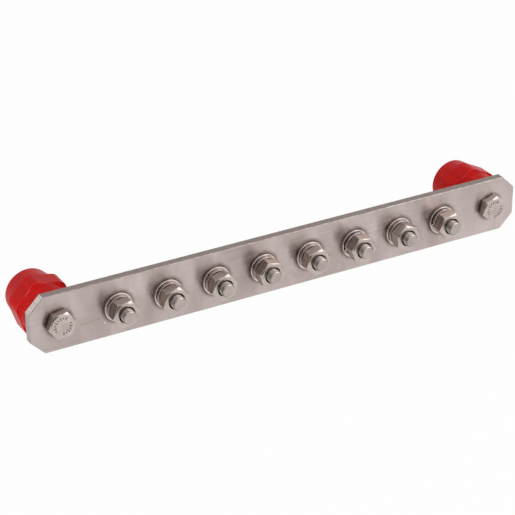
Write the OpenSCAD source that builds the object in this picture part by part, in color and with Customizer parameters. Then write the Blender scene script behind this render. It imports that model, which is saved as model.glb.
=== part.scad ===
// Earth terminal bar: a flat steel bar on two moulded standoff insulators, with a row of
// bolted terminal studs. Millimetres. The origin lies on the wall plane, midway between the
// two insulators: X runs along the bar, +Y goes into the wall and +Z is up.
//
// Every piece is drawn with its own axis along Z, rising from the wall towards the front,
// and off_wall() turns that Z to the front of the finished part.

/* [Bar] */
// Length of the bar
bar_l = 370; // [350:5:450]
// Width of the bar
bar_w = 40; // [36:1:50]
// Thickness of the bar
bar_t = 6; // [4:0.5:8]
// Leg of the 45 degree cut on each corner
corner_cut = 10; // [4:0.5:14]
// Width of the broken edge round both faces
edge_break = 0.4; // [0.2:0.1:0.8]
// Distance from each end of the bar to the fixing hole beside it
end_margin = 20; // [18:0.5:22]
// Clearance hole for every bolt through the bar
bar_hole_d = 11; // [10.5:0.1:12]

/* [Ways] */
// Number of terminal studs
ways = 8; // [1:1:8]
// Distance from one stud to the next
way_pitch = 35.4; // [30:0.1:36]
// Stud end left standing past its nut
tip_stand = 4.6; // [3:0.1:8]
// Turn of each nut about its stud, in degrees
nut_turns = [9, 18, 15, 47, 16, 51, 38, 8]; // [0:1:59]
// Turn of each bolt head behind the bar, in degrees
head_turns = [12, 41, 27, 5, 33, 52, 19, 46]; // [0:1:59]
// Turn of the split in each spring washer, in degrees
split_turns = [320, 290, 335, 305, 340, 196, 315, 183]; // [0:1:359]

/* [Bolts and nuts] */
// Outside diameter of the thread
thread_d = 10; // [9:0.1:10]
// Gap left between a thread and the bore that it screws into
thread_gap = 0.1; // [0.05:0.01:0.2]
// Size across the flats of every bolt head and nut
hex_af = 17; // [16:0.1:18]
// Height of a bolt head
head_h = 6.4; // [5:0.1:8]
// Height of a nut
nut_h = 8.4; // [7:0.1:10]
// Diameter of the flat round face inside the chamfered hexagon
hex_face_d = 15.8; // [14.5:0.1:15.9]
// Slope of the chamfer on the hexagon's corners, in degrees
hex_slope = 30; // [15:1:35]
// Depth of the bevel at the end of a thread
thread_bevel = 1; // [0.5:0.1:1.5]
// Diameter of a bolt's last turns, whose thread is not full
lead_d = 9.8; // [9.6:0.1:9.9]
// Length of those turns, without the bevel
lead_l = 3; // [2:0.1:4]
// Length over which the full thread fades into them
lead_fade = 0.6; // [0.5:0.1:1]
// Width of the countersink round the mouth of a nut
nut_sink = 0.7; // [0.2:0.1:0.8]

/* [Washers] */
// Outside diameter of a plain washer
washer_d = 20; // [19:0.5:24]
// Bore of a plain washer
washer_bore = 10.6; // [10.3:0.1:11]
// Thickness of a plain washer
washer_t = 2; // [1.5:0.1:3]
// Outside diameter of a spring washer
spring_d = 17.8; // [16.5:0.1:18.5]
// Bore of a spring washer
spring_bore = 10.5; // [10.3:0.1:11]
// Thickness of the spring washer's wire
spring_t = 2.2; // [1.8:0.1:3]
// Rise of the spring washer from one end of its turn to the other
spring_rise = 0.8; // [0.3:0.1:1.5]
// Width of the split in a spring washer
split_w = 1.6; // [1:0.1:3]
// Lean of the split from one face to the other, in degrees about the axis
split_lean = 7; // [0:1:12]

/* [Insulators] */
// Height of an insulator from the wall to the bar
ins_h = 42; // [38:0.5:60]
// Diameter of an insulator at each end
ins_end_d = 32; // [28:1:34]
// Size across the flats of the hexagonal belt
belt_af = 36.5; // [35:0.5:40]
// Height of the hexagonal belt
belt_h = 12.5; // [8:0.5:16]
// Distance from the wall to the belt
belt_back = 15; // [12:0.5:18]
// Amount rounded off each corner of the belt, measured along the radius
belt_corner = 1; // [0.3:0.1:1.5]
// Step from the middle of a belt flat down to the cone beside it
belt_step = 0.5; // [0.3:0.1:1]
// Turn of each insulator about its own axis, in degrees
belt_turns = [-12, -27]; // [-60:1:60]
// Bevel round each end face of an insulator
ins_bevel = 0.8; // [0.3:0.1:1.5]
// Thread that a bolt engages in an insert
fix_engage = 11; // [8:0.5:12]
// Bore left free past the end of the bolt
bore_spare = 1.5; // [0.5:0.5:3]
// Diameter of a metal insert
insert_d = 15.5; // [14:0.5:18]
// Closed end of an insert
insert_end = 2; // [1:0.5:3]
// Depth of the grooves that lock an insert in the moulding
groove_depth = 0.8; // [0.4:0.1:1]
// Width of each of those grooves
groove_w = 2; // [1:0.5:2.5]
// Grooves along an insert
grooves = 2; // [1:1:2]

/* [Hidden] */
$fn = 96;
eps = 0.01;

// Levels above the wall, from the back of the stack to the front
bar_back = ins_h;
bar_front = bar_back + bar_t;
back_washer_z = bar_back - washer_t;
head_z = back_washer_z - head_h;
spring_z = bar_front + washer_t;
nut_z = spring_z + spring_t + spring_rise;
tip_z = nut_z + nut_h + tip_stand;

// Lengths under the head of the two kinds of bolt
stud_l = tip_z - back_washer_z;
fixing_l = bar_t + fix_engage;

// Bores and inserts
thread_bore = thread_d + 2 * thread_gap;
insert_bore = fix_engage + bore_spare;
insert_l = insert_bore + insert_end;

// Belt of the insulator
belt_across_corners = belt_af / cos(30) - 2 * belt_corner;
cone_base_d = belt_af - 2 * belt_step;

// Facets along one turn of a spring washer
spring_steps = 60;

steel = [0.70, 0.68, 0.66];
bright_steel = [0.78, 0.76, 0.73];
dull_steel = [0.58, 0.57, 0.55];
insulator_red = [0.75, 0.10, 0.10];
insert_brass = [0.72, 0.58, 0.32];

SIDES = ["left", "right"];

function way_x(i) = (i - (ways + 1) / 2) * way_pitch;
function side_x(s) = (s - 0.5) * (bar_l - 2 * end_margin);

// Stands a piece, drawn along Z, out from the wall at a place along the bar
module off_wall(x = 0, z = 0) {
    translate([x, 0, 0]) rotate([90, 0, 0]) translate([0, 0, z]) children();
}

// ---- Bar ----

// Distance from the middle of the bar to each of its eight sides, by the side's direction
function side_reach(turn) =
    turn % 180 == 0 ? bar_l / 2 :
    turn % 90 == 0 ? bar_w / 2 :
    ((bar_l + bar_w) / 2 - corner_cut) / sqrt(2);

module bar_outline() {
    intersection() {
        square([bar_l, bar_w], center = true);
        rotate(45) square(2 * side_reach(45), center = true);
        rotate(45) square([2 * side_reach(45), 2 * (bar_l + bar_w)], center = true);
    }
}

// Takes the sharp edge off every side of one face of the bar
module face_edges(z) {
    for (turn = [0:45:315])
        rotate(turn) translate([side_reach(turn), 0, z]) rotate([0, 45, 0])
            cube([edge_break * sqrt(2), 2 * bar_l, edge_break * sqrt(2)], center = true);
}

module earth_bar() {
    color(steel) difference() {
        linear_extrude(bar_t) bar_outline();
        face_edges(0);
        face_edges(bar_t);
        for (i = [1:ways]) translate([way_x(i), 0, -eps]) bar_hole();
        for (s = [0:1]) translate([side_x(s), 0, -eps]) bar_hole();
    }
}

module bar_hole() {
    cylinder(h = bar_t + 2 * eps, d = bar_hole_d);
}

// ---- Bolts and nuts ----

// Hexagonal block whose corners are turned off to a chamfer at the top, or at both ends
module hex_block(h, both_ends) {
    corner_d = hex_af / cos(30);
    drop = (corner_d - hex_face_d) / 2 * tan(hex_slope);
    foot = both_ends ? drop : 0;
    intersection() {
        cylinder(h = h, d = corner_d, $fn = 6);
        rotate_extrude() polygon([
            [0, 0],
            [both_ends ? hex_face_d / 2 : corner_d / 2 + eps, 0],
            [corner_d / 2 + eps, foot],
            [corner_d / 2 + eps, h - drop],
            [hex_face_d / 2, h],
            [0, h]
        ]);
    }
}

// Threaded shank, rising from z = 0 to an end whose last turns are thinner and bevelled
module shank(l) {
    full = l - thread_bevel - lead_l - lead_fade;
    rotate_extrude() polygon([
        [0, 0],
        [thread_d / 2, 0],
        [thread_d / 2, full],
        [lead_d / 2, full + lead_fade],
        [lead_d / 2, l - thread_bevel],
        [lead_d / 2 - thread_bevel, l],
        [0, l]
    ]);
}

// Hexagon-headed bolt that points to the front, with its head behind z = 0
module stud_bolt(turn) {
    color(dull_steel) union() {
        shank(stud_l);
        rotate([180, 0, turn]) hex_block(head_h, false);
    }
}

// Hexagon-headed bolt that points to the wall, with its head in front of z = 0
module fixing_bolt(turn) {
    color(bright_steel) union() {
        rotate([180, 0, 0]) shank(fixing_l);
        rotate(turn) hex_block(head_h, false);
    }
}

module nut(turn) {
    mouth = thread_bore + 2 * nut_sink;
    color(bright_steel) difference() {
        rotate(turn) hex_block(nut_h, true);
        translate([0, 0, -eps]) cylinder(h = nut_h + 2 * eps, d = thread_bore);
        for (end = [0:1])
            translate([0, 0, end * nut_h]) mirror([0, 0, end])
                cylinder(h = nut_sink, d1 = mouth, d2 = thread_bore);
    }
}

// ---- Washers ----

module plain_washer() {
    color(steel) difference() {
        cylinder(h = washer_t, d = washer_d);
        translate([0, 0, -eps]) cylinder(h = washer_t + 2 * eps, d = washer_bore);
    }
}

// One turn of flat wire that climbs from end to end, with a leaning split between the ends
module spring_washer() {
    split_angle = split_w / (PI * (spring_d + spring_bore) / 2) * 360;
    step = (360 - split_angle) / spring_steps;
    // The four edges of the wire: inner low, outer low, outer high, inner high
    edges = [[spring_bore, 0], [spring_d, 0], [spring_d, 1], [spring_bore, 1]];
    points = [for (i = [0:spring_steps]) for (e = edges)
        let (a = split_angle / 2 + i * step + split_lean * (e[1] - 0.5))
        [e[0] / 2 * cos(a), e[0] / 2 * sin(a),
            e[1] * spring_t + spring_rise * i / spring_steps]];
    walls = [for (i = [0:spring_steps - 1]) for (k = [0:3])
        let (a = 4 * i + k, b = 4 * i + (k + 1) % 4)
        [a, b, b + 4, a + 4]];
    last = 4 * spring_steps;
    color(dull_steel)
        polyhedron(points, concat([[3, 2, 1, 0]], walls, [[last, last + 1, last + 2, last + 3]]));
}

// ---- Insulators ----

// Outline of an insert, and of the hole in the moulding that holds it
module insert_body() {
    pitch = insert_l / (grooves + 1);
    difference() {
        cylinder(h = insert_l, d = insert_d);
        for (g = [1:grooves]) translate([0, 0, g * pitch - groove_w / 2]) difference() {
            cylinder(h = groove_w, d = insert_d + 2 * eps);
            translate([0, 0, -eps])
                cylinder(h = groove_w + 2 * eps, d = insert_d - 2 * groove_depth);
        }
    }
}

// Threaded insert with its mouth at z = 0 and its closed end above
module insert() {
    color(insert_brass) difference() {
        insert_body();
        translate([0, 0, -eps]) cylinder(h = insert_bore + eps, d = thread_bore);
    }
}

// Puts a piece at both ends of an insulator, the second one facing the bar
module both_ends() {
    children();
    translate([0, 0, ins_h]) mirror([0, 0, 1]) children();
}

// Moulding: a cone from each end up to a hexagonal belt round the middle
module insulator(turn) {
    color(insulator_red) difference() {
        union() {
            rotate_extrude() polygon([
                [0, 0],
                [ins_end_d / 2 - ins_bevel, 0],
                [ins_end_d / 2, ins_bevel],
                [cone_base_d / 2, belt_back],
                [cone_base_d / 2, belt_back + belt_h],
                [ins_end_d / 2, ins_h - ins_bevel],
                [ins_end_d / 2 - ins_bevel, ins_h],
                [0, ins_h]
            ]);
            translate([0, 0, belt_back]) intersection() {
                rotate(turn) cylinder(h = belt_h, d = belt_af / cos(30), $fn = 6);
                cylinder(h = belt_h, d = belt_across_corners);
            }
        }
        both_ends() insert_body();
    }
}

// ---- The assembled part ----

off_wall(z = bar_back) earth_bar();

for (i = [1:ways]) {
    off_wall(way_x(i), back_washer_z) stud_bolt(head_turns[i - 1]);
    off_wall(way_x(i), back_washer_z) plain_washer();
    off_wall(way_x(i), bar_front) plain_washer();
    off_wall(way_x(i), spring_z) rotate(split_turns[i - 1]) spring_washer();
    off_wall(way_x(i), nut_z) nut(nut_turns[i - 1]);
}

for (s = [0:1]) {
    off_wall(side_x(s)) insulator(belt_turns[s]);
    off_wall(side_x(s)) insert();
    off_wall(side_x(s), bar_back) rotate([180, 0, 0]) insert();
    off_wall(side_x(s), bar_front) fixing_bolt([8, 18][s]);
}
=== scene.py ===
"""Earth terminal bar: the looks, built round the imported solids. Metres, in the row's frame.

X runs along the bar, +Y goes into the wall and +Z is up. The turned pieces are drawn in
millimetres as a radius and a height along their own axis, which points to the front.
"""

import math

import bmesh
import bpy
from mathutils import Matrix, Vector

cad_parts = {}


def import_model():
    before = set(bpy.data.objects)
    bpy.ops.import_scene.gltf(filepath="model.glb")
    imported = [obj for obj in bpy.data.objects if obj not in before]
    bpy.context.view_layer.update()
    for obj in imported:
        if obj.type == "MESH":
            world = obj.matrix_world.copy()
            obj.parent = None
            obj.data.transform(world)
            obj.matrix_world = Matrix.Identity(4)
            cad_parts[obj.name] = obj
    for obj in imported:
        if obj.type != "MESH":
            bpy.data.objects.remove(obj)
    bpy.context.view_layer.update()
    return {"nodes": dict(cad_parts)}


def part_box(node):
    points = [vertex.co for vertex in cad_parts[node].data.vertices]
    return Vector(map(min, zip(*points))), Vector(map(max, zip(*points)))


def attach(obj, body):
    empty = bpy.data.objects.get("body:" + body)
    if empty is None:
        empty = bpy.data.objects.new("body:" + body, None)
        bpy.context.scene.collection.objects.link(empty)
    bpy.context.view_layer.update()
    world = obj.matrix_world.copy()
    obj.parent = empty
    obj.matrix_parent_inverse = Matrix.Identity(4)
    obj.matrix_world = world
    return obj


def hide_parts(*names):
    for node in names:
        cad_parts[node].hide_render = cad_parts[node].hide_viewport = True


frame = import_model()

MM = 0.001
WAYS = 8
SIDES = ("left", "right")


def middle_x(node):
    """Where the middle of a CAD node's box lies along the bar."""
    low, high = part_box(node)
    return (low[0] + high[0]) / 2


# Places along the bar and levels on Y, all taken from the solids
WAY_PITCH = middle_x("front_washer_2") - middle_x("front_washer_1")
BOLT_X = middle_x("fixing_bolt_right")
PAST_WAYS = (middle_x(f"front_washer_{WAYS}") + BOLT_X) / 2
BAR_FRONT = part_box("earth_bar")[0][1]
NUT_FRONT, NUT_BACK = (corner[1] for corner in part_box("nut_1"))

# Turn of each piece about its own axis, in degrees, as the solids have it
NUT_TURNS = (9, 18, 15, 47, 16, 51, 38, 8)
STUD_TURNS = (12, 41, 27, 5, 33, 52, 19, 46)
SPLIT_TURNS = (320, 290, 335, 305, 340, 196, 315, 183)
BOLT_TURNS = {"left": 8, "right": 18}
BELT_TURNS = {"left": -12, "right": -27}

# M10 hexagon fastenings
HEX_AF = 17
HEX_FACE_R = 7.9
HEX_SLOPE = math.tan(math.radians(30))
HEX_ROUNDING = 0.5
HEAD_H = 6.4
THREAD_R = 5.0
THREAD_DEPTH = 0.85
THREAD_PITCH = 1.5
ROWS_A_TURN = 8
LEAD_R = 4.9
LEAD_L = 4.0
LEAD_FADE = 0.6
END_BEVEL = 1.0
NUT_BORE_R = 5.1
NUT_SINK = 0.7
WASHER_BORE_R = 5.3
SPRING_R, SPRING_BORE_R = 8.9, 5.25
SPRING_T, SPRING_RISE = 2.2, 0.8
SPLIT_ANGLE, SPLIT_LEAN = 13.0, 7.0

# ---------------------------------------------------------------- turned solids


def rounded(corners, closed=False, steps=3):
    """The profile through (radius, height, fillet) corners, with an arc at each fillet."""
    points = []
    count = len(corners)
    for i, (r, h, fillet) in enumerate(corners):
        if fillet == 0 or (not closed and i in (0, count - 1)):
            points.append((r, h))
            continue
        here = Vector((r, h))
        to_last = Vector(corners[i - 1][:2]) - here
        to_next = Vector(corners[(i + 1) % count][:2]) - here
        reach = 0.45 * min(to_last.length, to_next.length)
        to_last.normalize()
        to_next.normalize()
        half = to_last.angle(to_next) / 2
        fillet = min(fillet, reach * math.tan(half))
        middle = here + (to_last + to_next).normalized() * fillet / math.sin(half)
        start = here + to_last * fillet / math.tan(half) - middle
        end = here + to_next * fillet / math.tan(half) - middle
        swing = start.angle(end)
        for k in range(steps + 1):
            t = k / steps
            arm = (math.sin((1 - t) * swing) * start + math.sin(t * swing) * end) / math.sin(swing)
            points.append(tuple(middle + arm))
    return points


def round_angles(count):
    return [2 * math.pi * k / count for k in range(count)]


def hexagon_angles(turn, across, rounding, flat_steps=6, corner_steps=4):
    """Directions round a hexagon, closest together at its rounded corners."""
    inner = across / 2
    edge = math.atan((inner - rounding) * math.tan(math.pi / 6) / inner)
    angles = []
    for side in range(6):
        middle = math.radians(turn + 60 * side + 30)
        for k in range(flat_steps):
            t = 2 * k / flat_steps - 1
            angles.append(middle + math.atan(t * math.tan(edge)))
        for k in range(2 * corner_steps):
            angles.append(middle + edge + (math.pi / 3 - 2 * edge) * k / (2 * corner_steps))
    return angles


def hexagon_radius(angle, turn, across, rounding):
    """Reach of a hexagon with rounded corners in one direction."""
    inner = across / 2
    from_flat = abs((math.degrees(angle) - turn) % 60 - 30)
    from_flat = math.radians(from_flat)
    if math.tan(from_flat) * inner <= (inner - rounding) * math.tan(math.pi / 6):
        return inner / math.cos(from_flat)
    centre = (inner - rounding) / math.cos(math.pi / 6)
    off = math.pi / 6 - from_flat
    return centre * math.cos(off) + math.sqrt(rounding**2 - (centre * math.sin(off)) ** 2)


def thread_rows(angle, low, high, crest, depth, inward=False):
    """Points along a right-handed thread at one angle, held within its two ends."""
    rows = []
    start = math.floor(low / THREAD_PITCH) - 1
    turns = math.ceil((high - low) / THREAD_PITCH) + 3
    for k in range(ROWS_A_TURN * turns + 1):
        h = (start + k / ROWS_A_TURN + angle / (2 * math.pi)) * THREAD_PITCH
        off = abs((k / ROWS_A_TURN) % 1 - 0.5) * 2
        cut = depth * min(1, max(0, (1 - off) * 1.6))
        h_in = min(max(h, low), high)
        if h_in != h:
            cut = 0 if inward else depth
        rows.append((crest(h_in) + (cut if inward else -cut), h_in))
    return rows


def turned(name, node, angles, profile, material, closed=False, facing=1, helix=None):
    """A solid from one profile per direction, standing on the back of a CAD node's box.

    facing -1 draws it from the front of the box towards the wall instead. helix gives the
    first and last row of a thread, whose rows climb by one pitch each turn.
    """
    low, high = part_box(node)
    x = middle_x(node)
    z = (low[2] + high[2]) / 2
    base = high[1] if facing > 0 else low[1]
    mesh = bmesh.new()
    columns = []
    for angle in angles:
        out_x, out_z = math.cos(angle) * MM, facing * math.sin(angle) * MM
        places = [(x + r * out_x, base - facing * h * MM, z + r * out_z) for r, h in profile(angle)]
        columns.append([mesh.verts.new(place) for place in places])
    rows = len(columns[0])
    spans = rows if closed else rows - 1

    def across(row):
        row %= rows
        if helix and helix[0] <= row <= helix[1]:
            return min(row + ROWS_A_TURN, helix[1])
        return row

    for j in range(len(angles)):
        last = j == len(angles) - 1
        here, there = columns[j], columns[0 if last else j + 1]
        for i in range(spans):
            a, b = i, (i + 1) % rows
            c, d = (across(b), across(a)) if last else (b, a)
            corners = []
            for vert in (here[a], here[b], there[c], there[d]):
                if vert not in corners:
                    corners.append(vert)
            if len(corners) > 2 and not mesh.faces.get(corners):
                mesh.faces.new(corners)
    bmesh.ops.remove_doubles(mesh, verts=mesh.verts, dist=1e-6)
    bmesh.ops.dissolve_degenerate(mesh, edges=mesh.edges, dist=1e-7)
    return finished(mesh, name, material)


def finished(mesh, name, material):
    """Makes the object, and puts it in its CAD node's place."""
    loose = [v for v in mesh.verts if not v.link_faces]
    bmesh.ops.delete(mesh, geom=loose, context="VERTS")
    bmesh.ops.recalc_face_normals(mesh, faces=mesh.faces)
    for face in mesh.faces:
        face.smooth = True
    data = bpy.data.meshes.new(name)
    mesh.to_mesh(data)
    mesh.free()
    data.materials.append(material)
    piece = bpy.data.objects.new(name, data)
    bpy.context.scene.collection.objects.link(piece)
    weights = piece.modifiers.new("weighted normals", "WEIGHTED_NORMAL")
    weights.keep_sharp = False
    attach(piece, "root")
    return piece


# ---------------------------------------------------------------- materials


class Nodes:
    """Short calls that add and join the nodes of one material."""

    def __init__(self, name, colour, roughness, metallic):
        self.material = bpy.data.materials.new(name)
        self.material.use_nodes = True
        self.tree = self.material.node_tree
        self.shader = self.tree.nodes["Principled BSDF"]
        self.shader.inputs["Base Color"].default_value = (*colour, 1)
        self.shader.inputs["Roughness"].default_value = roughness
        self.shader.inputs["Metallic"].default_value = metallic

    def add(self, kind, **values):
        node = self.tree.nodes.new("ShaderNode" + kind)
        for key, value in values.items():
            setattr(node, key, value)
        return node

    def link(self, out, into):
        self.tree.links.new(out, into)

    def parts(self, output):
        """X, Y and Z of the object's coordinates or normals."""
        parts = self.add("SeparateXYZ")
        self.link(self.add("TexCoord").outputs[output], parts.inputs["Vector"])
        return parts.outputs

    def place(self, scale):
        """Object coordinates, stretched: a big number packs the detail closely."""
        where = self.add("TexCoord")
        mapping = self.add("Mapping")
        mapping.inputs["Scale"].default_value = scale
        self.link(where.outputs["Object"], mapping.inputs["Vector"])
        return mapping.outputs["Vector"]

    def noise(self, scale, detail=3, distortion=0):
        node = self.add("TexNoise")
        node.inputs["Scale"].default_value = 1
        node.inputs["Detail"].default_value = detail
        node.inputs["Distortion"].default_value = distortion
        self.link(self.place(scale), node.inputs["Vector"])
        return node.outputs["Fac"]

    def remap(self, value, low, high, to_low, to_high):
        node = self.add("MapRange")
        names = ("From Min", "From Max", "To Min", "To Max")
        for key, number in zip(names, (low, high, to_low, to_high)):
            node.inputs[key].default_value = number
        self.link(value, node.inputs["Value"])
        return node.outputs["Result"]

    def maths(self, operation, a, b=None):
        node = self.add("Math", operation=operation)
        for value, socket in zip((a, b), node.inputs):
            if isinstance(value, (int, float)):
                socket.default_value = value
            elif value is not None:
                self.link(value, socket)
        return node.outputs[0]

    def squared(self, value):
        return self.maths("MULTIPLY", value, value)

    def blend(self, factor, a, b):
        """Number a where the factor is 0, number b where it is 1."""
        kept = self.maths("MULTIPLY", self.maths("SUBTRACT", 1, factor), a)
        return self.maths("ADD", kept, self.maths("MULTIPLY", factor, b))

    def mix(self, factor, a, b):
        """Colour a, going to colour b as the factor goes to 1."""
        node = self.add("Mix", data_type="RGBA")
        factor_in, a_in, b_in = node.inputs[0], node.inputs[6], node.inputs[7]
        if isinstance(factor, (int, float)):
            factor_in.default_value = factor
        else:
            self.link(factor, factor_in)
        for value, socket in ((a, a_in), (b, b_in)):
            if isinstance(value, tuple):
                socket.default_value = (*value, 1)
            else:
                self.link(value, socket)
        return node.outputs[2]

    def bump(self, height, strength, distance):
        node = self.add("Bump")
        node.inputs["Strength"].default_value = strength
        node.inputs["Distance"].default_value = distance
        self.link(height, node.inputs["Height"])
        return node

    def to_shader(self, **sockets):
        for key, output in sockets.items():
            self.link(output, self.shader.inputs[key.replace("_", " ")])
        return self.material


# Painted contact shade on the bar: a soft dark ring round each washer, a smaller one round each
# bolt head
SHADE_RING_IN, SHADE_RING_OUT = 10.1 * MM, 13.1 * MM
HEAD_SMALLER = 1.4 * MM
# One long scratch by the left end, and a bright nick beside it
SCRATCH_X, SCRATCH_Z, SCRATCH_SLOPE = -143.5 * MM, -5.7 * MM, 0.085
NICK_X, NICK_Z = -133.5 * MM, -9.4 * MM
# A face looks straight along an axis above this share of its normal
STRAIGHT = 0.92


def fastening_contact_shade(n, where):
    """Share of painted contact shade round the fastenings."""
    along = n.maths("ABSOLUTE", where["X"])
    from_stud = n.maths("SUBTRACT", n.maths("MODULO", along, WAY_PITCH), WAY_PITCH / 2)
    from_bolt = n.maths("SUBTRACT", along, BOLT_X)
    past = n.maths("GREATER_THAN", along, PAST_WAYS)
    aside = n.blend(past, from_stud, from_bolt)
    reach = n.maths("SQRT", n.maths("ADD", n.squared(aside), n.squared(where["Z"])))
    reach = n.maths("ADD", reach, n.maths("MULTIPLY", past, HEAD_SMALLER))
    ring = n.maths("POWER", n.remap(reach, SHADE_RING_IN, SHADE_RING_OUT, 1, 0), 1.4)
    uneven = n.remap(n.noise((160, 160, 160), 2), 0.3, 0.7, 0.65, 1)
    return n.maths("MULTIPLY", ring, uneven)


def long_scratch(n, where):
    x = n.maths("SUBTRACT", where["X"], SCRATCH_X)
    z = n.maths("SUBTRACT", where["Z"], SCRATCH_Z)
    off_line = n.maths("ABSOLUTE", n.maths("SUBTRACT", z, n.maths("MULTIPLY", x, SCRATCH_SLOPE)))
    thin = n.remap(off_line, 0.1 * MM, 0.4 * MM, 0.45, 0)
    short = n.remap(n.maths("ABSOLUTE", x), 6 * MM, 8.5 * MM, 1, 0)
    return n.maths("MULTIPLY", thin, short)


def bright_nick(n, where):
    x = n.maths("ABSOLUTE", n.maths("SUBTRACT", where["X"], NICK_X))
    z = n.maths("ABSOLUTE", n.maths("SUBTRACT", where["Z"], NICK_Z))
    return n.remap(n.maths("MAXIMUM", x, z), 0.2 * MM, 0.6 * MM, 1, 0)


def brushed_face(n, streaks):
    """Colour of the bar's faces: soft clouds, fine streaks and thin scratches along it."""
    clouds = n.remap(n.noise((38, 14, 16), 2, 0.6), 0.32, 0.68, 0, 1)
    haze = n.remap(n.noise((110, 60, 70), 2, 0.8), 0.5, 0.72, 0, 0.55)
    colour = n.mix(clouds, (0.385, 0.318, 0.298), (0.56, 0.478, 0.456))
    colour = n.mix(haze, colour, (0.39, 0.33, 0.298))
    colour = n.mix(n.remap(streaks, 0.3, 0.7, 0, 0.35), colour, (0.60, 0.515, 0.49))
    scratch = n.remap(n.noise((9, 100, 1500), 1), 0.66, 0.70, 0, 1)
    patch = n.remap(n.noise((22, 22, 60), 1), 0.52, 0.6, 0, 0.5)
    return n.mix(n.maths("MULTIPLY", scratch, patch), colour, (0.30, 0.265, 0.25))


def bar_steel():
    """Brushed flat bar with sawn edges, ground corner cuts and worn arrises, with painted shade on
    its long edges and round the fastenings.
    """
    n = Nodes("bar_steel", (0.48, 0.43, 0.41), 0.4, 1)
    streaks = n.noise((30, 300, 2600), 4)
    fine = n.noise((90, 600, 7000), 2)
    sawn = n.remap(n.noise((700, 500, 60), 3), 0.3, 0.7, 0, 1)
    ground = n.noise((2200, 60, 2200), 3)
    worn = n.remap(n.noise((260, 260, 260), 2), 0.35, 0.6, 0, 1)
    # The direction that a face looks in tells the edges, corner cuts and arrises apart
    normal = n.parts("Normal")
    nx, ny, nz = (n.maths("ABSOLUTE", out) for out in normal)
    front = n.maths("LESS_THAN", normal["Y"], -0.3)
    end = n.maths("GREATER_THAN", nx, STRAIGHT)
    long_edge = n.maths("GREATER_THAN", nz, 0.5)
    straight = n.maths("GREATER_THAN", n.maths("MAXIMUM", nx, nz), STRAIGHT)
    cut = n.maths("MULTIPLY", n.maths("LESS_THAN", ny, 0.3), n.maths("SUBTRACT", 1, straight))
    arris = n.maths("MULTIPLY", front, n.maths("LESS_THAN", ny, STRAIGHT))

    where = n.parts("Object")
    contact_shade = n.maths("MULTIPLY", fastening_contact_shade(n, where), front)
    scratch = n.maths("MULTIPLY", long_scratch(n, where), front)
    nick = n.maths("MULTIPLY", bright_nick(n, where), front)
    ground_share = n.remap(ground, 0.35, 0.65, 0, 1)
    colour = brushed_face(n, streaks)
    # Painted shade: dark rings round the fastenings, standing in for contact shadow
    colour = n.mix(contact_shade, colour, (0.07, 0.052, 0.042))
    colour = n.mix(scratch, colour, (0.25, 0.215, 0.20))
    colour = n.mix(nick, colour, (0.92, 0.90, 0.88))
    colour = n.mix(end, colour, (0.37, 0.31, 0.29))
    # Long edges: darker partly for their sawn finish and partly as painted shade on the top edge
    colour = n.mix(long_edge, colour, n.mix(sawn, (0.25, 0.202, 0.187), (0.34, 0.28, 0.258)))
    colour = n.mix(cut, colour, n.mix(ground_share, (0.50, 0.43, 0.39), (0.74, 0.67, 0.63)))
    colour = n.mix(arris, colour, n.mix(worn, (0.34, 0.29, 0.275), (0.50, 0.445, 0.42)))

    rough = n.remap(streaks, 0.3, 0.7, 0.27, 0.38)
    rough = n.maths("ADD", rough, n.maths("MULTIPLY", long_edge, 0.15))
    lines = n.maths("MULTIPLY", fine, n.maths("GREATER_THAN", ny, STRAIGHT))
    bump = n.bump(n.maths("ADD", lines, n.maths("MULTIPLY", ground, cut)), 0.25, 0.02 * MM)
    # The brushing runs along the bar, so a reflection is drawn out across it. The vector
    # leans a little so that it lies square to none of the faces.
    n.shader.inputs["Anisotropic"].default_value = 0.85
    across = n.add("CombineXYZ")
    for key, value in zip("XYZ", (0.15, 0.3, 1)):
        across.inputs[key].default_value = value
    n.link(across.outputs[0], n.shader.inputs["Tangent"])
    return n.to_shader(Base_Color=colour, Roughness=rough, Normal=bump.outputs[0])


def bright_steel(name, light, dark, roughness, tint=None, shade_levels=None):
    """Stainless fastening: rolled and turned faces with small dull patches and fine lines.

    Given two levels on Y, it paints shade on the piece: none at the first, dark at the second,
    where the piece meets its neighbour.
    """
    n = Nodes(name, light, roughness, 1)
    patches = n.remap(n.noise((160, 160, 160), 2, 0.3), 0.35, 0.7, 0, 1)
    specks = n.remap(n.noise((900, 900, 900), 2), 0.66, 0.72, 0, 0.25)
    grain = n.noise((1800, 700, 1800), 3)
    colour = n.mix(patches, light, dark)
    colour = n.mix(specks, colour, tuple(0.45 * c for c in dark))
    if tint:
        heat = n.remap(n.noise((60, 60, 60), 1), 0.48, 0.62, 0, 0.55)
        colour = n.mix(heat, colour, tint)
    if shade_levels:
        level = n.parts("Object")["Y"]
        # Painted shade, only in front of the bar: the heads behind it get none
        in_front = n.maths("LESS_THAN", level, BAR_FRONT + 0.5 * MM)
        foot_shade_share = n.maths("MULTIPLY", n.remap(level, shade_levels[0], shade_levels[1], 0, 0.8), in_front)
        colour = n.mix(foot_shade_share, colour, tuple(0.2 * c for c in dark))
    rough = n.remap(grain, 0.3, 0.7, roughness - 0.05, roughness + 0.09)
    bump = n.bump(grain, 0.15, 0.015 * MM)
    return n.to_shader(Base_Color=colour, Roughness=rough, Normal=bump.outputs[0])


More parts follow.
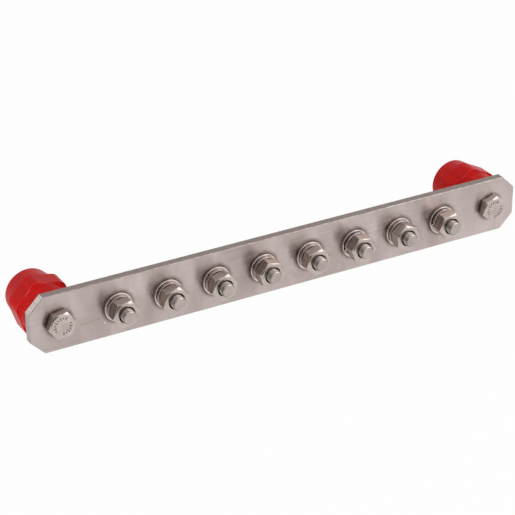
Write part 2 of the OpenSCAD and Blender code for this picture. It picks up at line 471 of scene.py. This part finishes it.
def moulded_red():
    """Semi-gloss glass-filled moulding with a faint flow pattern and handling scuffs."""
    n = Nodes("insulator_red", (0.58, 0.010, 0.010), 0.3, 0)
    n.shader.inputs["Specular IOR Level"].default_value = 0.05
    flow = n.noise((60, 40, 60), 3, 1.2)
    colour = n.mix(n.remap(flow, 0.35, 0.65, 0, 1), (0.54, 0.008, 0.008), (0.64, 0.013, 0.012))
    # Painted highlight: paler along its edges, where a face looks between outward and forward
    lean = n.maths("ABSOLUTE", n.parts("Normal")["Y"])
    edge = n.maths("MULTIPLY", n.maths("GREATER_THAN", lean, 0.3), n.maths("LESS_THAN", lean, 0.93))
    uneven = n.remap(n.noise((120, 120, 120), 2), 0.4, 0.6, 0.15, 0.8)
    colour = n.mix(n.maths("MULTIPLY", edge, uneven), colour, (0.78, 0.13, 0.12))
    scuffs = n.remap(n.noise((350, 90, 350), 3, 0.6), 0.6, 0.72, 0, 0.4)
    colour = n.mix(scuffs, colour, (0.66, 0.07, 0.065))
    rough = n.remap(flow, 0.3, 0.7, 0.26, 0.4)
    bump = n.bump(n.noise((2600, 2600, 2600), 2), 0.15, 0.03 * MM)
    return n.to_shader(Base_Color=colour, Roughness=rough, Normal=bump.outputs[0])


def turned_brass():
    """Brass insert with dull patches and fine rings from the lathe."""
    n = Nodes("insert_brass", (0.60, 0.44, 0.20), 0.3, 1)
    patches = n.noise((250, 250, 250), 3)
    colour = n.mix(n.remap(patches, 0.35, 0.65, 0, 1), (0.50, 0.35, 0.15), (0.66, 0.50, 0.24))
    rings = n.noise((1500, 200, 1500), 2)
    rough = n.remap(rings, 0.3, 0.7, 0.24, 0.42)
    bump = n.bump(rings, 0.3, 0.02 * MM)
    return n.to_shader(Base_Color=colour, Roughness=rough, Normal=bump.outputs[0])


bar = bar_steel()
nut_steel = bright_steel(
    "nut_steel",
    (0.55, 0.475, 0.435),
    (0.46, 0.395, 0.36),
    0.2,
    shade_levels=(NUT_BACK - 1.6 * MM, NUT_BACK + 0.2 * MM),
)
thread_steel = bright_steel(
    "thread_steel",
    (0.50, 0.43, 0.395),
    (0.41, 0.35, 0.32),
    0.22,
    shade_levels=(NUT_FRONT - 1.4 * MM, NUT_FRONT),
)
bolt_steel = bright_steel(
    "bolt_steel",
    (0.60, 0.51, 0.48),
    (0.47, 0.395, 0.365),
    0.2,
    shade_levels=(BAR_FRONT - 2 * MM, BAR_FRONT + 0.2 * MM),
)
washer_steel = bright_steel("washer_steel", (0.68, 0.60, 0.56), (0.56, 0.49, 0.455), 0.2)
spring_steel = bright_steel(
    "spring_steel",
    (0.60, 0.525, 0.49),
    (0.50, 0.435, 0.405),
    0.22,
    tint=(0.44, 0.39, 0.52),
)
# Dark steels that paint shade: in the thread roots, in the nut bores and on the raised head ticks
root_shade_steel = bright_steel("root_shade_steel", (0.26, 0.222, 0.20), (0.20, 0.17, 0.155), 0.3)
bore_shade_steel = bright_steel("bore_shade_steel", (0.10, 0.085, 0.075), (0.06, 0.05, 0.043), 0.35)
tick_shade_steel = bright_steel("tick_shade_steel", (0.22, 0.19, 0.175), (0.17, 0.145, 0.13), 0.4)
red = moulded_red()
brass = turned_brass()

for node_name, node in frame["nodes"].items():
    node.data.materials.clear()
    if node_name == "earth_bar":
        node.data.materials.append(bar)
    elif node_name.startswith("insulator"):
        node.data.materials.append(red)
    elif "insert" in node_name:
        node.data.materials.append(brass)
    else:
        node.data.materials.append(nut_steel)

# ---------------------------------------------------------------- bolts and nuts


def chamfer_drop(radius):
    """How far the 30 degree chamfer of a nut or head has dropped at a radius."""
    return (radius - HEX_FACE_R) * HEX_SLOPE


def height_of(node):
    """Height of a CAD node's box along its axis, in millimetres."""
    low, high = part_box(node)
    return (high[1] - low[1]) / MM


def bolt(name, node, turn, facing, material):
    """Hexagon head, drawn from its outer face, with a threaded shank beyond it."""
    angles = hexagon_angles(turn, HEX_AF, HEX_ROUNDING)
    end = height_of(node)
    tip = LEAD_R - END_BEVEL
    lead_start = end - LEAD_L

    def crest(h):
        fade = min(1, max(0, (h - lead_start + LEAD_FADE) / LEAD_FADE))
        return THREAD_R - (THREAD_R - LEAD_R) * fade

    def thread(angle):
        rows = thread_rows(angle, HEAD_H, end, crest, THREAD_DEPTH)
        return [(min(r, tip + end - h), h) for r, h in rows]

    def profile(angle):
        r = hexagon_radius(angle, turn, HEX_AF, HEX_ROUNDING)
        head = rounded(
            [
                (0, 0, 0),
                (HEX_FACE_R, 0, 0.2),
                (r, chamfer_drop(r), 0.25),
                (r, HEAD_H, 0.12),
                (THREAD_R - THREAD_DEPTH, HEAD_H, 0),
            ]
        )
        return head + thread(angle) + [(tip - 0.25, end), (0, end)]

    last = len(profile(angles[0])) - 3
    helix = (last - len(thread(angles[0])) + 1, last)
    piece = turned(name, node, angles, profile, material, facing=facing, helix=helix)
    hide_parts(node)
    # Painted shade: the roots of the thread get a darker steel beside its bright crests
    piece.data.materials.append(root_shade_steel)
    low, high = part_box(node)
    x = middle_x(node)
    base = high[1] if facing > 0 else low[1]
    for face in piece.data.polygons:
        reach = math.hypot(face.center.x - x, face.center.z) / MM
        h = abs(face.center.y - base) / MM
        if HEAD_H + 0.1 < h < end - 0.9 and reach < LEAD_R - 0.45 * THREAD_DEPTH:
            face.material_index = 1


def nut(name, node, turn):
    """Hexagon nut, chamfered and countersunk on both faces, with a plain bore."""
    angles = hexagon_angles(turn, HEX_AF, HEX_ROUNDING)
    height = height_of(node)
    mouth = NUT_BORE_R + NUT_SINK

    def profile(angle):
        r = hexagon_radius(angle, turn, HEX_AF, HEX_ROUNDING)
        drop = chamfer_drop(r)
        return rounded(
            [
                (NUT_BORE_R, NUT_SINK, 0.1),
                (mouth, 0, 0.12),
                (HEX_FACE_R, 0, 0.2),
                (r, drop, 0.3),
                (r, height - drop, 0.3),
                (HEX_FACE_R, height, 0.2),
                (mouth, height, 0.15),
                (NUT_BORE_R, height - NUT_SINK, 0.1),
            ],
            closed=True,
        )

    piece = turned(name, node, angles, profile, nut_steel, closed=True)
    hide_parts(node)
    # The bore and its countersinks get a very dark steel: painted shade in the recess
    piece.data.materials.append(bore_shade_steel)
    x = middle_x(node)
    for face in piece.data.polygons:
        corners = [piece.data.vertices[v].co for v in face.vertices]
        if max(math.hypot(co.x - x, co.z) for co in corners) < mouth * MM:
            face.material_index = 1


def plain_washer(name, node, facing):
    """Punched washer: rolled over on one face, sharper on the other."""
    low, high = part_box(node)
    height = height_of(node)
    outer = (high[0] - low[0]) / 2 / MM

    def profile(angle):
        return rounded(
            [
                (WASHER_BORE_R, 0, 0.1),
                (outer, 0, 0.12),
                (outer, height, 0.4),
                (WASHER_BORE_R, height, 0.25),
            ],
            closed=True,
            steps=4,
        )

    piece = turned(name, node, round_angles(96), profile, washer_steel, closed=True, facing=facing)
    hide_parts(node)


def spring_washer(name, node, x, turn):
    """One climbing turn of square wire with rounded corners and a leaning split.

    x is the stud's, because the box of a split ring is lopsided.
    """
    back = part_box(node)[1][1]
    section = rounded(
        [
            (SPRING_BORE_R, 0, 0.2),
            (SPRING_R, 0, 0.3),
            (SPRING_R, SPRING_T, 0.3),
            (SPRING_BORE_R, SPRING_T, 0.2),
        ],
        closed=True,
    )
    mesh = bmesh.new()
    rings = []
    steps = 120
    for k in range(steps + 1):
        t = k / steps
        along = turn + SPLIT_ANGLE / 2 + t * (360 - SPLIT_ANGLE)
        ring = []
        for r, h in section:
            angle = math.radians(along + SPLIT_LEAN * (h / SPRING_T - 0.5))
            place = Vector((r * math.cos(angle), -h - SPRING_RISE * t, r * math.sin(angle)))
            ring.append(mesh.verts.new(Vector((x, back, 0)) + place * MM))
        rings.append(ring)
    count = len(section)
    for here, there in zip(rings, rings[1:]):
        for i in range(count):
            j = (i + 1) % count
            mesh.faces.new((here[i], here[j], there[j], there[i]))
    mesh.faces.new(rings[0])
    mesh.faces.new(rings[-1])
    piece = finished(mesh, name, spring_steel)
    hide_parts(node)


for i in range(1, WAYS + 1):
    way_x = middle_x(f"front_washer_{i}")
    bolt(f"threaded_stud_{i}", f"stud_bolt_{i}", STUD_TURNS[i - 1], 1, thread_steel)
    nut(f"hexagon_nut_{i}", f"nut_{i}", NUT_TURNS[i - 1])
    plain_washer(f"washer_behind_{i}", f"back_washer_{i}", -1)
    plain_washer(f"washer_in_front_{i}", f"front_washer_{i}", 1)
    spring_washer(f"spring_ring_{i}", f"spring_washer_{i}", way_x, SPLIT_TURNS[i - 1])

for side in SIDES:
    bolt(f"fixing_screw_{side}", f"fixing_bolt_{side}", -BOLT_TURNS[side], -1, bolt_steel)

# Raised ticks on the face of a fixing bolt, in degrees round it
UPPER_ARC = [66 + 20 * k for k in range(8)]
LOWER_ARC = [-88 + 20 * k for k in range(6)]
TICK_RING_R, TICK_W, TICK_H = 5.5, 0.85, 0.16
TICK_LENGTHS = (2.2, 1.3)
TICK_CORNERS = 16


def squarish(value):
    """Pushes a sine or cosine outward, so that a circle becomes a rounded square."""
    return math.copysign(abs(value) ** 0.6, value)


def tick(mesh, centre, out, length):
    """A small raised block with rounded corners and a narrower top."""
    side_way = Vector((-out.z, 0, out.x))
    rings = []
    for size, height in ((1, -0.05), (1, 0.06), (0.75, TICK_H)):
        ring = []
        for k in range(TICK_CORNERS):
            turn = 2 * math.pi * k / TICK_CORNERS
            place = out * squarish(math.cos(turn)) * length / 2 * size
            place += side_way * squarish(math.sin(turn)) * TICK_W / 2 * size
            place.y -= height
            ring.append(mesh.verts.new(centre + place * MM))
        rings.append(ring)
    for lower, upper in zip(rings, rings[1:]):
        for k in range(TICK_CORNERS):
            after = (k + 1) % TICK_CORNERS
            mesh.faces.new((lower[k], lower[after], upper[after], upper[k]))
    mesh.faces.new(rings[0])
    mesh.faces.new(rings[-1])


def head_marks(side):
    """Two arcs of plain ticks, long and short in turn."""
    node = f"fixing_bolt_{side}"
    head = Vector((middle_x(node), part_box(node)[0][1], 0))
    mesh = bmesh.new()
    for k, degrees in enumerate(UPPER_ARC + LOWER_ARC):
        angle = math.radians(degrees)
        out = Vector((math.cos(angle), 0, math.sin(angle)))
        tick(mesh, head + out * TICK_RING_R * MM, out, TICK_LENGTHS[k % 2])
    # Dark steel on the raised ticks: painted shade of their relief
    finished(mesh, f"head_marks_{side}", tick_shade_steel)


for side in SIDES:
    head_marks(side)

# ---------------------------------------------------------------- insulators

BELT_AF, BELT_ROUNDING = 36.5, 6.0
BELT_BACK, BELT_H = 15.0, 12.5
END_R, CONE_R = 16.0, 17.75
INSERT_R, INSERT_L = 7.75, 14.5
BORE_R, BORE_L = 5.1, 12.5
MOUTH = 0.8


def insulator(side):
    """Standoff: two cones with a hexagonal belt between them, hollow for its inserts."""
    node = f"insulator_{side}"
    turn = BELT_TURNS[side]
    height = height_of(node)
    belt_front = BELT_BACK + BELT_H

    def profile(angle):
        r = hexagon_radius(angle, turn, BELT_AF, BELT_ROUNDING)
        return rounded(
            [
                (0, INSERT_L, 0),
                (INSERT_R, INSERT_L, 0.3),
                (INSERT_R, 0, 0.15),
                (END_R - 0.8, 0, 0.5),
                (END_R, 0.8, 0.8),
                (CONE_R, BELT_BACK, 0.25),
                (r, BELT_BACK, 0.35),
                (r, belt_front, 0.35),
                (CONE_R, belt_front, 0.25),
                (END_R, height - 0.8, 0.8),
                (END_R - 0.8, height, 0.5),
                (INSERT_R, height, 0.15),
                (INSERT_R, height - INSERT_L, 0.3),
                (0, height - INSERT_L, 0),
            ],
            steps=4,
        )

    angles = hexagon_angles(turn, BELT_AF, BELT_ROUNDING, 12, 6)
    piece = turned(f"moulding_{side}", node, angles, profile, red)
    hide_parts(node)


def wall_insert(side):
    """Brass insert at the wall end, with its thread cut inside."""
    node = f"back_insert_{side}"
    root = BORE_R - THREAD_DEPTH
    low, high = MOUTH, BORE_L - 1

    def thread(angle):
        rows = thread_rows(angle, low, high, lambda h: root, THREAD_DEPTH, inward=True)
        return [(r if low < h < high else root, h) for r, h in rows]

    def profile(angle):
        mouth = rounded(
            [(INSERT_R, INSERT_L, 0), (INSERT_R, 0, 0.25), (BORE_R, 0, 0.1), (root, MOUTH, 0)]
        )
        return [(0, INSERT_L)] + mouth + thread(angle) + [(root, BORE_L), (0, BORE_L)]

    last = len(profile(0)) - 3
    helix = (last - len(thread(0)) + 1, last)
    name = f"threaded_insert_{side}"
    piece = turned(name, node, round_angles(72), profile, brass, helix=helix)
    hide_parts(node)


for side in SIDES:
    insulator(side)
    wall_insert(side)

# ---------------------------------------------------------------- camera

AZ, EL, ROLL = -0.519192, 0.482937, -0.001376
AIM_X, AIM_Y, DISTANCE = -18.92 * MM, 2.2 * MM, 1323.896 * MM
LENS = 139.738

back = Vector((math.sin(AZ) * math.cos(EL), -math.cos(AZ) * math.cos(EL), math.sin(EL)))
right = Vector((0, 0, 1)).cross(back).normalized()
up = back.cross(right)
right, up = (
    math.cos(ROLL) * right + math.sin(ROLL) * up,
    -math.sin(ROLL) * right + math.cos(ROLL) * up,
)
camera = bpy.data.objects.new("camera", bpy.data.cameras.new("camera"))
bpy.context.scene.collection.objects.link(camera)
camera.data.lens = LENS
camera.data.sensor_width = 36
place = right * AIM_X + up * AIM_Y + back * DISTANCE + Vector((0, BAR_FRONT, 0))
turn = Matrix((right, up, back)).transposed()
camera.matrix_world = Matrix.Translation(place) @ turn.to_4x4()
bpy.context.scene.camera = camera

# ---------------------------------------------------------------- stage

FLOOR_Z = -0.30
FLOOR_HALF = 6


def seen_rays(tree):
    """1 for the rays that show the background: to the camera, off metal or through glass."""
    path = tree.nodes.new("ShaderNodeLightPath")
    shown = path.outputs["Is Camera Ray"]
    for key in ("Is Glossy Ray", "Is Transmission Ray"):
        either = tree.nodes.new("ShaderNodeMath")
        either.operation = "MAXIMUM"
        tree.links.new(shown, either.inputs[0])
        tree.links.new(path.outputs[key], either.inputs[1])
        shown = either.outputs[0]
    return shown


def flat_sheet(name, corners, material):
    mesh = bpy.data.meshes.new(name)
    mesh.from_pydata(corners, [], [(0, 1, 2, 3)])
    mesh.materials.append(material)
    sheet = bpy.data.objects.new(name, mesh)
    bpy.context.scene.collection.objects.link(sheet)
    return sheet


def rectangle(half_width, half_height, z=0):
    w, h = half_width, half_height
    return [(-w, -h, z), (w, -h, z), (w, h, z), (-w, h, z)]


def pale_floor():
    """Large pale sheet, white to the camera and in reflections, that keeps the shadow."""
    material = bpy.data.materials.new("pale_floor")
    material.use_nodes = True
    tree = material.node_tree
    shader = tree.nodes["Principled BSDF"]
    shader.inputs["Base Color"].default_value = (0.85, 0.85, 0.85, 1)
    shader.inputs["Roughness"].default_value = 0.9
    white = tree.nodes.new("ShaderNodeEmission")
    white.inputs["Color"].default_value = (1, 1, 1, 1)
    white.inputs["Strength"].default_value = 1
    share = tree.nodes.new("ShaderNodeMath")
    share.operation = "MULTIPLY"
    share.inputs[1].default_value = 0.97
    tree.links.new(seen_rays(tree), share.inputs[0])
    mix = tree.nodes.new("ShaderNodeMixShader")
    tree.links.new(share.outputs[0], mix.inputs[0])
    tree.links.new(shader.outputs[0], mix.inputs[1])
    tree.links.new(white.outputs[0], mix.inputs[2])
    tree.links.new(mix.outputs[0], tree.nodes["Material Output"].inputs["Surface"])
    floor = flat_sheet("floor", rectangle(FLOOR_HALF, FLOOR_HALF, FLOOR_Z), material)


def lamp(name, place, size, power, in_gloss=True):
    """Square soft lamp turned towards the object. in_gloss lets metal reflect it."""
    data = bpy.data.lights.new(name, "AREA")
    data.shape = "SQUARE"
    data.size = size
    data.energy = power
    obj = bpy.data.objects.new(name, data)
    bpy.context.scene.collection.objects.link(obj)
    obj.location = place
    obj.rotation_euler = (-Vector(place)).to_track_quat("-Z", "Y").to_euler()
    obj.visible_glossy = in_gloss


def dark_card(place, width, height):
    """Grey card, dark beside the white studio, which only reflections show."""
    material = bpy.data.materials.new("dark_card")
    material.use_nodes = True
    shader = material.node_tree.nodes["Principled BSDF"]
    shader.inputs["Base Color"].default_value = (0.3, 0.275, 0.26, 1)
    shader.inputs["Roughness"].default_value = 1
    shader.inputs["Specular IOR Level"].default_value = 0
    card = flat_sheet("dark_card", rectangle(width / 2, height / 2), material)
    card.location = place
    card.rotation_euler = Vector(place).to_track_quat("-Z", "Y").to_euler()
    card.visible_camera = False
    card.visible_diffuse = False
    card.visible_shadow = False


def world():
    """Soft even light, and plain white where the background shows."""
    data = bpy.data.worlds.new("studio")
    data.use_nodes = True
    bpy.context.scene.world = data
    tree = data.node_tree
    soft = tree.nodes["Background"]
    soft.inputs["Color"].default_value = (1, 1, 1, 1)
    soft.inputs["Strength"].default_value = 0.55
    white = tree.nodes.new("ShaderNodeBackground")
    white.inputs["Color"].default_value = (1, 1, 1, 1)
    white.inputs["Strength"].default_value = 1
    mix = tree.nodes.new("ShaderNodeMixShader")
    tree.links.new(seen_rays(tree), mix.inputs[0])
    tree.links.new(soft.outputs[0], mix.inputs[1])
    tree.links.new(white.outputs[0], mix.inputs[2])
    tree.links.new(mix.outputs[0], tree.nodes["World Output"].inputs["Surface"])


pale_floor()
world()
lamp("key", (0.93, -0.83, 0.84), 1.0, 5)
lamp("fill", (-1.0, -1.05, 0.35), 0.9, 7, in_gloss=False)
dark_card((-0.65, -1.13, 0.0), 1.1, 1.7)
bpy.context.scene.view_settings.view_transform = "Standard"
